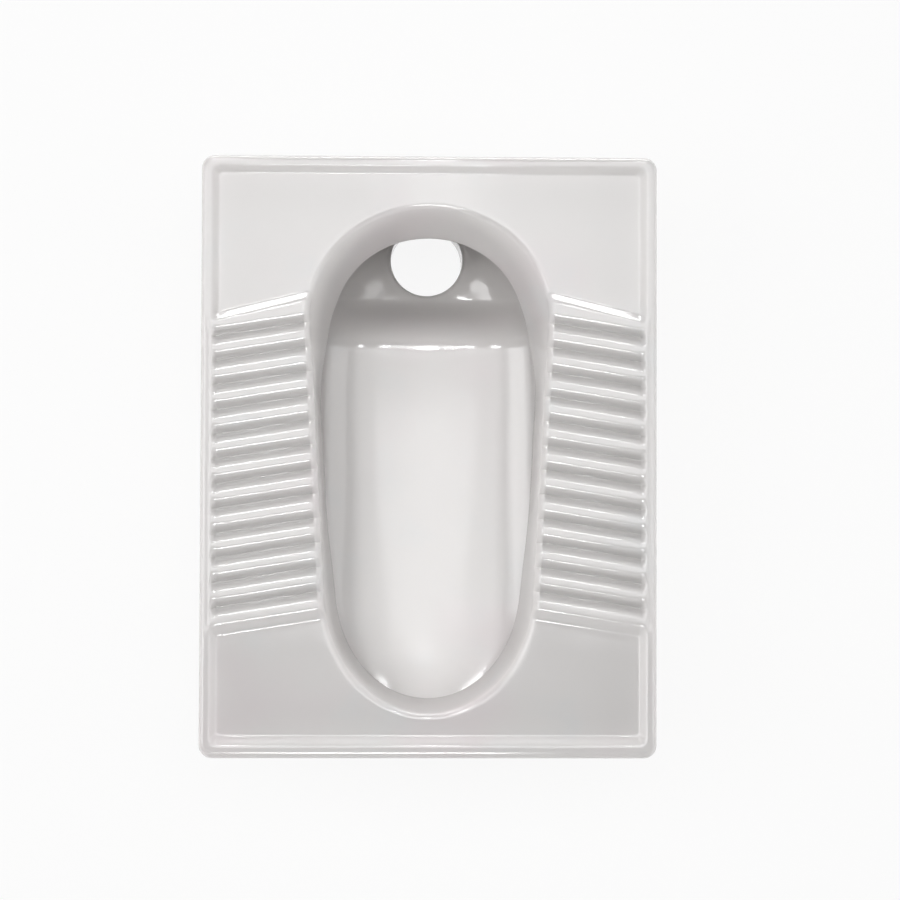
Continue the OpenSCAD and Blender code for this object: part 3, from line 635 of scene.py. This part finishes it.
def basin():
    """Rays from the wall in to the outlet's axis: along the inner skin, round the outlet's edge,
    down its bore, and back out along the outer skin to the wall. The rounded edge starts at the
    funnel's tilt. Painted shade greys the glaze by a smooth step of the depth below the shade's
    top height, and fully round the outlet's edge and down its bore."""
    base = edge_at(even_edge(420))
    inner = off_edge(base, ring_out(base[:, 1]))
    outer = off_edge(base, ring_out(base[:, 1]) + RIM_T)
    axis = np.array([0, OUTLET_Y])

    def ray(wall, r_end, shares):
        away = wall - axis
        reach = np.linalg.norm(away, axis=1, keepdims=True)
        r = mix(reach, r_end, shares[None, :])
        return axis + (away / reach)[:, None] * r[..., None]

    shares = np.linspace(0, 1, 92) ** 1.25
    mouth_r = OUTLET_R + OUTLET_ROUND * (1 - math.sin(MOUTH_TILT))
    mouth_drop = OUTLET_ROUND * (1 - math.cos(MOUTH_TILT))
    top = ray(inner, mouth_r, shares)
    top = put_z(top, bowl_height(top, 0, mouth_r, mouth_drop))
    spoke = (inner - axis) / np.linalg.norm(inner - axis, axis=1, keepdims=True)
    t = np.linspace(MOUTH_TILT, QUARTER, 9)[1:]
    r = np.concatenate([OUTLET_R + OUTLET_ROUND * (1 - np.sin(t)), [OUTLET_R]])
    z = np.concatenate([SUMP_Z - OUTLET_ROUND * (1 - np.cos(t)), [HORN_Z]])
    mouth = put_z(axis + spoke[:, None] * r[None, :, None], z)
    outward = ray(outer, OUTER_FLAT_R, (np.linspace(0, 1, 44) ** 1.2)[::-1])
    outward = put_z(outward, bowl_height(outward, RIM_T, OUTER_FLAT_R, BOWL_T))
    grid = np.concatenate([top, mouth, outward], axis=1)
    # painted shade: the glaze greys deeper down, and fully round the outlet's edge and down its bore
    painted_shade_share = smooth((PAINTED_SHADE_TOP_Z - top[..., 2]) / PAINTED_SHADE_DEPTH)
    below = np.concatenate([np.full(mouth.shape[1] - 1, GLAZED + PAINTED_SHADE_SPAN), [-4],
                            np.full(outward.shape[1] - 6, BARE), np.linspace(BARE, -10, 6)])
    glaze = np.concatenate([GLAZED + 0.95 * PAINTED_SHADE_SPAN * painted_shade_share, np.tile(below, (len(grid), 1))], axis=1)
    return grid.reshape(-1, 3), ring_faces(*grid.shape[:2]), glaze.ravel()


def round_rectangle(w, l, r, steps):
    """Rectangle with round corners, from its right-hand side round: quarter turns about the four
    corner centres."""
    a = np.linspace(0, QUARTER, steps)
    turns = (a[None, :] + QUARTER * np.arange(4)[:, None]).ravel()
    cx = np.repeat([1, -1, -1, 1], steps) * (w / 2 - r)
    cy = np.repeat([1, 1, -1, -1], steps) * (l / 2 - r)
    return np.stack([cx + r * np.cos(turns), cy + r * np.sin(turns)], axis=-1)


FOOT_W, FOOT_L, FOOT_Y, FOOT_T, FOOT_CORNER_R = 110.0, 44.0, -130.0, 9.0, 14.0
PAD_MARGIN = 4.0        # how far the pad stands out round the foot


def capped(loops, glaze):
    """Loops of equal count stacked into a closed solid: each end closes on a point in its middle."""
    first, last = loops[0].mean(axis=0), loops[-1].mean(axis=0)
    n = loops.shape[1]
    grid = np.concatenate([np.tile(first, (1, n, 1)), loops, np.tile(last, (1, n, 1))])
    points, faces = grid.reshape(-1, 3), ring_faces(len(grid), n, close_rows=False)
    return points, faces, np.full(len(points), float(glaze))


def foot_pad():
    """Level pad under the trough: a round-cornered rectangle with a rounded lower edge and sides
    that flare into the bowl's outer skin."""
    # how far the loop grows, its height, its share of the way up to the skin
    rings = [(-2.0, PAD_Z, 0.0), (-0.6, PAD_Z + 0.6, 0.0), (0, PAD_Z + 2, 0.0)]
    for t in np.linspace(0, QUARTER, 6):
        rings.append((3.5 * (1 - math.cos(t)), PAD_Z + 2, math.sin(t)))
    loops = []
    for grow, z, up in rings:
        wider = 2 * (PAD_MARGIN + grow)
        plan = round_rectangle(FOOT_W + wider, FOOT_L + wider, FOOT_CORNER_R + PAD_MARGIN + grow, 7)
        plan = plan + np.array([0, FOOT_Y])
        skin = bowl_height(plan, RIM_T, OUTER_FLAT_R, BOWL_T) + 0.8
        loops.append(put_z(plan, mix(z, np.maximum(skin, z), up)))
    return capped(np.stack(loops), -20)


def foot():
    """Hollow foot: round-cornered rectangles from the pad down its outside, round its lower edge
    and up its inside."""
    # inset from the foot's side, height
    rings = [(0, PAD_Z), (0, 80), (0, 40), (0, 3), (0.9, 0.9), (3, 0),
             (FOOT_T - 3, 0), (FOOT_T - 0.9, 0.9), (FOOT_T, 3), (FOOT_T, 40), (FOOT_T, 80), (FOOT_T, PAD_Z)]
    loops = []
    for n, z in rings:
        plan = round_rectangle(FOOT_W - 2 * n, FOOT_L - 2 * n, FOOT_CORNER_R - n, 8)
        loops.append(put_z(plan + np.array([0, FOOT_Y]), z))
    grid = np.stack(loops)
    points = grid.reshape(-1, 3)
    return points, ring_faces(*grid.shape[:2]), np.full(len(points), BARE)


# ---- horns ------------------------------------------------------------------------------------------------
HORN_FILLET, FILLET_Z = 8.0, 38.0


def outlet_horn():
    """Spigot turned about the outlet's axis: a straight bore, a rounded lower end, and a fillet
    that runs out into the bowl's outer skin."""
    turns = np.linspace(0, 2 * math.pi, 96, endpoint=False)
    spoke = np.stack([np.cos(turns), np.sin(turns)], axis=-1)
    collar = np.array([0, OUTLET_Y]) + spoke * (HORN_R + HORN_FILLET)
    skin = bowl_height(collar, RIM_T, OUTER_FLAT_R, BOWL_T)[:, None] + 0.4
    t = np.linspace(0, 1, 7) * QUARTER
    bore, end = [OUTLET_R] * 6, [OUTLET_R + 0.7, OUTLET_R + 2.4, HORN_R - 3.4, HORN_R - 1, HORN_R]
    r = np.concatenate([bore, end, [HORN_R] * 3, HORN_R + HORN_FILLET * (1 - np.cos(t))])
    z = np.concatenate([[HORN_Z, 40, 30, 18, 6, 2.4], [0.7, 0, 0, 1, 3.4], [8, 18, 28]])
    z = np.concatenate([np.tile(z, (len(turns), 1)), mix(FILLET_Z, skin, np.sin(t)[None, :])], axis=1)
    grid = put_z(np.array([0, OUTLET_Y]) + spoke[:, None] * r[None, :, None], z)
    glaze = np.concatenate([[20, 20, 20, 14, 4, -1], [-3, -4, -4, -4, -4], [-6, -10, -20], np.full(7, -25)])
    return grid.reshape(-1, 3), ring_faces(*grid.shape[:2]), np.tile(glaze.astype(float), len(turns))


def inlet_horn():
    """Socket turned about a level axis along Y: a straight bore, a rounded open end, and a fillet
    against the rim's outer wall."""
    turns = np.linspace(0, 2 * math.pi, 64, endpoint=False)
    y = INLET_END_Y - np.array([34, 25, 17, 7, 2.4, 0.6, 0, 0, 0.8, 2.6, 9, 17, 20, 22.4, 24.4, 25.8, 27])
    wider = INLET_R + np.array([0, 0, 0, 0, 0, 0.5, 1.8, 4, 5.4])
    r = np.concatenate([wider, INLET_OUT_R + np.array([0, 0, 0, 0.2, 0.9, 2.2, 4, 4.4])])
    grid = np.stack(np.broadcast_arrays(np.cos(turns)[:, None] * r, y[None, :],
                                        INLET_Z + np.sin(turns)[:, None] * r), axis=-1)
    grid[..., 2] = np.maximum(grid[..., 2], LIP_Z + 0.2)
    glaze = np.array([15, 15, 15, 10, 4, 1, -2, -4, -5, -6, -8, -12, -14, -14, -14, -14, -14], dtype=float)
    return grid.reshape(-1, 3), ring_faces(*grid.shape[:2]), np.tile(glaze, len(turns))


# ---- webs -------------------------------------------------------------------------------------------------
WEB_Y = 92.0
WEB_T, WEB_ROUND, WEB_LOW_Z = 10.0, 2.0, 189.0
ARCH_X, ARCH_Z, ARCH_R = 182.0, 177.0, 24.0


def web(side, y):
    """A web's section, a strip with a rounded lower edge, carried from the rim to the skirt. That
    edge follows an arch: zc + sqrt(r² - (x - xc)²) within the arch, level outside it."""
    at_rim = tread_line_edge(np.array([y]), np.array([0.0]))
    x_rim = off_edge(at_rim, ring_out(np.array([y])) + RIM_T)[0, 0]
    share = np.concatenate([[0], 0.5 - 0.5 * np.cos(np.linspace(0, math.pi, 40)), [1]])
    x = mix(x_rim - 1.5, DECK_W / 2 - SKIRT_T + 1, share)
    arch = ARCH_Z + np.sqrt(np.maximum(ARCH_R ** 2 - (x - ARCH_X) ** 2, 0))
    low = np.maximum(WEB_LOW_Z, arch)[:, None]
    t = np.linspace(0, 1, 5) * QUARTER
    half = WEB_T / 2
    down = np.concatenate([[half, half], half - WEB_ROUND * (1 - np.cos(t))])
    dy = np.concatenate([down, -down[::-1]])
    up = WEB_ROUND * (1 - np.sin(t))
    up = np.concatenate([up, up[::-1]])
    upper, middle = 0 * low + UNDER_Z + 0.4, 0 * low + 206
    z = np.concatenate([upper, middle, low + up[None, :], middle, upper], axis=1)
    loops = np.stack(np.broadcast_arrays(side * x[:, None], y + dy[None, :], z), axis=-1)
    return capped(loops, BARE)


# ---- materials --------------------------------------------------------------------------------------------
def new_group(name, inputs, outputs):
    """Empty shader node group with named inputs (name, type, value) and outputs (name, type)."""
    group = bpy.data.node_groups.new(name, "ShaderNodeTree")
    for label, kind, value in inputs:
        socket = group.interface.new_socket(label, in_out="INPUT", socket_type=kind)
        socket.default_value = value
    for label, kind in outputs:
        group.interface.new_socket(label, in_out="OUTPUT", socket_type=kind)
    return group, group.nodes.new("NodeGroupInput"), group.nodes.new("NodeGroupOutput")


def noise(tree, vector, scale, detail=3.0, roughness=0.5):
    """Noise texture on a vector."""
    node = tree.nodes.new("ShaderNodeTexNoise")
    node.inputs["Scale"].default_value = scale
    node.inputs["Detail"].default_value = detail
    node.inputs["Roughness"].default_value = roughness
    tree.links.new(vector, node.inputs["Vector"])
    return node.outputs["Fac"]


def scaled(tree, value, low, high, to_low, to_high, kind="LINEAR"):
    """Value mapped from one range to another, held at its ends."""
    node = tree.nodes.new("ShaderNodeMapRange")
    node.interpolation_type = kind
    for label, number in zip(("From Min", "From Max", "To Min", "To Max"), (low, high, to_low, to_high)):
        node.inputs[label].default_value = number
    tree.links.new(value, node.inputs["Value"])
    return node.outputs["Result"]


def maths(tree, operation, a, b):
    """Math node on two sockets or numbers."""
    node = tree.nodes.new("ShaderNodeMath")
    node.operation = operation
    for socket, item in zip(node.inputs, (a, b)):
        if isinstance(item, (int, float)):
            socket.default_value = item
        else:
            tree.links.new(item, socket)
    return node.outputs["Value"]


def colour_mix(tree, share, a, b):
    """Colour at a share of the way from a to b; each is a socket or a colour."""
    node = tree.nodes.new("ShaderNodeMix")
    node.data_type = "RGBA"
    tree.links.new(share, node.inputs["Factor"])
    for socket, item in zip((node.inputs[6], node.inputs[7]), (a, b)):
        if isinstance(item, tuple):
            socket.default_value = item
        else:
            tree.links.new(item, socket)
    return node.outputs[2]


SPECK_COLOUR = (0.32, 0.28, 0.25, 1)
# greyer colour painted into the groove bottoms and the sump as shade
PAINTED_SHADE_COLOUR = (0.6, 0.585, 0.575, 1)
GRAIN_COLOUR = (0.5, 0.45, 0.4, 1)


def glaze_group():
    """Clear glaze over white china: a faint mottle of warm, rosy and cool white, a few tiny specks in
    the body, a painted shade that greys it in the hollows, and a surface that is never quite flat."""
    group, given, out = new_group(
        "white_glaze",
        [("Vector", "NodeSocketVector", (0, 0, 0)),
         ("White", "NodeSocketColor", (0.8, 0.78, 0.77, 1)),
         ("Rosy", "NodeSocketColor", (0.8, 0.75, 0.755, 1)),
         ("Cool", "NodeSocketColor", (0.77, 0.775, 0.775, 1)),
         ("PaintedShade", "NodeSocketFloat", 0.0)],
        [("Colour", "NodeSocketColor"), ("Gloss", "NodeSocketFloat"), ("Height", "NodeSocketFloat")])
    vector = given.outputs["Vector"]
    rosy = scaled(group, noise(group, vector, 7, 2), 0.48, 0.72, 0, 0.75, "SMOOTHSTEP")
    cool = scaled(group, noise(group, vector, 16, 3), 0.5, 0.8, 0, 0.6, "SMOOTHSTEP")
    colour = colour_mix(group, rosy, given.outputs["White"], given.outputs["Rosy"])
    colour = colour_mix(group, cool, colour, given.outputs["Cool"])
    cells = group.nodes.new("ShaderNodeTexVoronoi")
    cells.inputs["Scale"].default_value = 85
    group.links.new(vector, cells.inputs["Vector"])
    near = scaled(group, cells.outputs["Distance"], 0.03, 0.055, 1, 0)
    rare = scaled(group, noise(group, vector, 60, 1), 0.66, 0.68, 0, 1)
    speck = maths(group, "MULTIPLY", near, rare)
    speck = maths(group, "MULTIPLY", speck, 0.45)
    colour = colour_mix(group, speck, colour, SPECK_COLOUR)
    # painted shade: the glaze turns greyer by the shade input
    colour = colour_mix(group, given.outputs["PaintedShade"], colour, PAINTED_SHADE_COLOUR)
    gloss = scaled(group, noise(group, vector, 24, 3), 0.3, 0.7, 0.085, 0.125)
    slow = noise(group, vector, 9, 2)
    quick = maths(group, "MULTIPLY", noise(group, vector, 120, 2), 0.06)
    group.links.new(colour, out.inputs["Colour"])
    group.links.new(gloss, out.inputs["Gloss"])
    group.links.new(maths(group, "ADD", slow, quick), out.inputs["Height"])
    return group


def biscuit_group():
    """Bare fired body: warm off-white, matt and finely grained, with cloudy kiln stains."""
    group, given, out = new_group(
        "bare_biscuit",
        [("Vector", "NodeSocketVector", (0, 0, 0)),
         ("Body", "NodeSocketColor", (0.72, 0.675, 0.61, 1)),
         ("Stain", "NodeSocketColor", (0.56, 0.49, 0.42, 1))],
        [("Colour", "NodeSocketColor"), ("Gloss", "NodeSocketFloat"), ("Height", "NodeSocketFloat")])
    vector = given.outputs["Vector"]
    cloud = scaled(group, noise(group, vector, 11, 5, 0.6), 0.5, 0.78, 0, 0.6, "SMOOTHSTEP")
    colour = colour_mix(group, cloud, given.outputs["Body"], given.outputs["Stain"])
    grain = noise(group, vector, 900, 2)
    shade = scaled(group, grain, 0.3, 0.7, 0, 0.18)
    colour = colour_mix(group, shade, colour, GRAIN_COLOUR)
    marks = noise(group, vector, 55, 4)
    group.links.new(colour, out.inputs["Colour"])
    group.links.new(scaled(group, grain, 0.3, 0.7, 0.66, 0.86), out.inputs["Gloss"])
    group.links.new(maths(group, "ADD", maths(group, "MULTIPLY", grain, 0.12), marks), out.inputs["Height"])
    return group


def china_material(name, glaze, biscuit):
    """China whose glaze stops at a wavy line: the glaze attribute and a little noise say where.
    Colour, roughness and height are mixed by that share, and the attribute also sets the painted
    shade in the hollows."""
    material = bpy.data.materials.new(name)
    material.use_nodes = True
    tree = material.node_tree
    shader = tree.nodes["Principled BSDF"]
    shader.inputs["IOR"].default_value = 1.5
    vector = tree.nodes.new("ShaderNodeTexCoord").outputs["Object"]
    finish = []
    for group in (biscuit, glaze):
        node = tree.nodes.new("ShaderNodeGroup")
        node.node_tree = group
        tree.links.new(vector, node.inputs["Vector"])
        finish.append(node)
    body, coat = finish
    edge = tree.nodes.new("ShaderNodeAttribute")
    edge.attribute_name = "glaze_edge_and_shade"
    # painted shade: attribute values above GLAZED grey the glaze
    painted_shade = scaled(tree, edge.outputs["Fac"], GLAZED, GLAZED + PAINTED_SHADE_SPAN, 0, 1)
    tree.links.new(painted_shade, coat.inputs["PaintedShade"])
    wave = scaled(tree, noise(tree, vector, 30, 3), 0.25, 0.75, -3, 3)
    covered = scaled(tree, maths(tree, "ADD", edge.outputs["Fac"], wave), -0.35, 0.35, 0, 1, "SMOOTHSTEP")
    colour = colour_mix(tree, covered, body.outputs["Colour"], coat.outputs["Colour"])
    tree.links.new(colour, shader.inputs["Base Color"])
    smoother = maths(tree, "SUBTRACT", body.outputs["Gloss"], coat.outputs["Gloss"])
    rough = maths(tree, "SUBTRACT", body.outputs["Gloss"], maths(tree, "MULTIPLY", covered, smoother))
    tree.links.new(rough, shader.inputs["Roughness"])
    bare = maths(tree, "SUBTRACT", 1, covered)
    grain = maths(tree, "MULTIPLY", bare, maths(tree, "MULTIPLY", body.outputs["Height"], 0.5))
    height = maths(tree, "ADD", maths(tree, "MULTIPLY", covered, coat.outputs["Height"]), grain)
    bump = tree.nodes.new("ShaderNodeBump")
    bump.inputs["Strength"].default_value = 1
    bump.inputs["Distance"].default_value = 0.0007
    tree.links.new(height, bump.inputs["Height"])
    tree.links.new(bump.outputs["Normal"], shader.inputs["Normal"])
    return material


# ---- stage ------------------------------------------------------------------------------------------------
PHOTO_PX = 900
CAMERA_AT = Vector((-0.05151, -0.07619, 2.7677))
CAMERA_LOOKS_AT = Vector((0.0209, 0.0064, 0.223))
CAMERA_ROLL = math.radians(-0.18)
FOCAL_PX = 2553.3
SENSOR_MM = 36.0
PLATE_AIM = (0, 0, 0.22)        # middle of the plate's top, in metres
BASIN_AIM = (0, 0, 0.1)         # middle of the trough's floor


def add_camera():
    """Camera on a straight line to the point that it looks at, its top towards +Y."""
    data = bpy.data.cameras.new("camera")
    data.sensor_width = SENSOR_MM
    data.lens = FOCAL_PX / PHOTO_PX * SENSOR_MM
    data.clip_end = 20
    ahead = (CAMERA_LOOKS_AT - CAMERA_AT).normalized()
    up = Matrix.Rotation(CAMERA_ROLL, 3, ahead) @ Vector((0, 1, 0))
    right = ahead.cross(up).normalized()
    up = right.cross(ahead)
    camera = bpy.data.objects.new("camera", data)
    camera.matrix_world = Matrix.Translation(CAMERA_AT) @ Matrix((right, up, -ahead)).transposed().to_4x4()
    bpy.context.scene.collection.objects.link(camera)
    bpy.context.scene.camera = camera


def add_area_light(name, at, size, radiance, lights="both", aim=None):
    """Rectangular lamp, aimed straight along Y at the plate's height unless an aim is given. Its power
    is pi times its radiance times its area. It can be kept to the body's shade alone ("shade") or
    to the glaze's shine alone ("shine")."""
    aim = aim or (at[0], 0, PLATE_AIM[2])
    data = bpy.data.lights.new(name, "AREA")
    data.shape = "RECTANGLE"
    data.size, data.size_y = size
    data.energy = math.pi * radiance * size[0] * size[1]
    lamp = bpy.data.objects.new(name, data)
    lamp.location = at
    lamp.rotation_euler = (Vector(aim) - Vector(at)).to_track_quat("-Z", "Y").to_euler()
    lamp.visible_diffuse = lights != "shine"
    lamp.visible_glossy = lights != "shade"
    bpy.context.scene.collection.objects.link(lamp)


def add_floor():
    """Plain pale floor, level with the horn's lower end. The camera, reflections and glass see it
    nine tenths white, and the last tenth keeps the pan's shadow."""
    half = 6.0
    mesh = bpy.data.meshes.new("floor")
    corners = [(-half, -half, 0), (half, -half, 0), (half, half, 0), (-half, half, 0)]
    mesh.from_pydata(corners, [], [(0, 1, 2, 3)])
    floor = bpy.data.objects.new("floor", mesh)
    bpy.context.scene.collection.objects.link(floor)
    material = bpy.data.materials.new("floor")
    material.use_nodes = True
    tree = material.node_tree
    shader = tree.nodes["Principled BSDF"]
    shader.inputs["Base Color"].default_value = (0.82, 0.82, 0.82, 1)
    shader.inputs["Roughness"].default_value = 0.7
    path = tree.nodes.new("ShaderNodeLightPath")
    seen = maths(tree, "MAXIMUM", path.outputs["Is Camera Ray"], path.outputs["Is Glossy Ray"])
    seen = maths(tree, "MAXIMUM", seen, path.outputs["Is Transmission Ray"])
    white = tree.nodes.new("ShaderNodeEmission")
    white.inputs["Strength"].default_value = 1
    join = tree.nodes.new("ShaderNodeMixShader")
    tree.links.new(maths(tree, "MULTIPLY", seen, 0.9), join.inputs[0])
    tree.links.new(shader.outputs[0], join.inputs[1])
    tree.links.new(white.outputs[0], join.inputs[2])
    tree.links.new(join.outputs[0], tree.nodes["Material Output"].inputs["Surface"])
    mesh.materials.append(material)


def add_world():
    """Even grey surroundings."""
    world = bpy.data.worlds.new("world")
    bpy.context.scene.world = world
    world.use_nodes = True
    world.node_tree.nodes["Background"].inputs["Color"].default_value = (0.04, 0.04, 0.04, 1)


add_camera()
add_floor()
add_world()
# The overheads and softboxes light everything. The panels light the body's shade, from low down.
# The rest shows only in the glaze: strips on the border and the steps, veils at the sides of the
# trough, and boxes as fine lines along the ridges. None stands in the place of another, because a
# lamp that a ray can't see still stops it.
add_area_light("overhead_wide", (0, 0.44, 3.22), (2.4, 1.42), 1.4)
add_area_light("overhead_middle", (0.02, 0.35, 3.21), (1.8, 1.26), 1.6)
add_area_light("overhead_inner", (0.03, 0.3, 3.2), (1.2, 1.0), 1.4)
add_area_light("overhead_core", (0.08, 0.56, 3.1), (0.2, 0.47), 2.5)
add_area_light("left_softbox", (-1.7, 0.1, 2.6), (1.5, 1.5), 3.6, aim=PLATE_AIM)
add_area_light("right_softbox", (1.7, 0.1, 2.6), (1.5, 1.5), 1.2, aim=PLATE_AIM)
add_area_light("rear_panel", (0, 2.6, 0.46), (2.2, 0.4), 10, "shade")
add_area_light("front_panel", (0, -2.6, 0.46), (2.2, 0.4), 7, "shade")
add_area_light("right_panel", (2.6, 0, 0.46), (2, 0.4), 11, "shade", aim=PLATE_AIM)
add_area_light("left_panel", (-2.6, 0, 0.46), (2, 0.4), 8, "shade", aim=PLATE_AIM)
add_area_light("right_strip", (2.4, 0, 0.62), (1.5, 0.5), 1.5, "shine", aim=PLATE_AIM)
add_area_light("left_strip", (-2.4, 0, 0.62), (1.5, 0.5), 1.5, "shine", aim=PLATE_AIM)
add_area_light("right_veil", (1.5, 0.1, 1.9), (1.5, 1.3), 1.9, "shine", aim=BASIN_AIM)
add_area_light("left_veil", (-1.5, 0.1, 1.9), (1.5, 1.3), 2.6, "shine", aim=BASIN_AIM)
add_area_light("rear_strip", (0, 2.4, 0.45), (2.1, 0.38), 18, "shine")
add_area_light("rear_box_left", (-0.47, 1.05, 2.4), (0.28, 0.42), 27, "shine")
add_area_light("rear_box_middle", (0.05, 1.05, 2.4), (0.06, 0.42), 45, "shine")
add_area_light("rear_box_right", (0.52, 1.05, 2.4), (0.13, 0.42), 27, "shine")
add_area_light("front_box", (-0.06, -1.05, 2.4), (0.54, 0.42), 27, "shine")

glaze, biscuit = glaze_group(), biscuit_group()
china = china_material("glazed_china", glaze, biscuit)
bare = china_material("biscuit_china", glaze, biscuit)

make_piece("foot_plate_china", "foot_plate", china, [foot_plate()])
make_piece("spray_ring", "spray_shelf", china, [spray_shelf()])
make_piece("rim_back", "rim_outer_wall", bare, [rim_outer_wall()])
make_piece("basin", "bowl", china, [basin(), foot_pad()])
make_piece("outlet_spigot", "outlet_horn", bare, [outlet_horn()])
make_piece("flush_socket", "inlet_horn", bare, [inlet_horn()])
make_piece("standing_foot", "front_foot", bare, [foot()])
for label, side, y in (("left_rear_web", -1, WEB_Y), ("right_rear_web", 1, WEB_Y),
                       ("left_front_web", -1, -WEB_Y), ("right_front_web", 1, -WEB_Y)):
    make_piece(label + "_china", label, bare, [web(side, y)])

scene = bpy.context.scene
scene.view_settings.view_transform = "Standard"
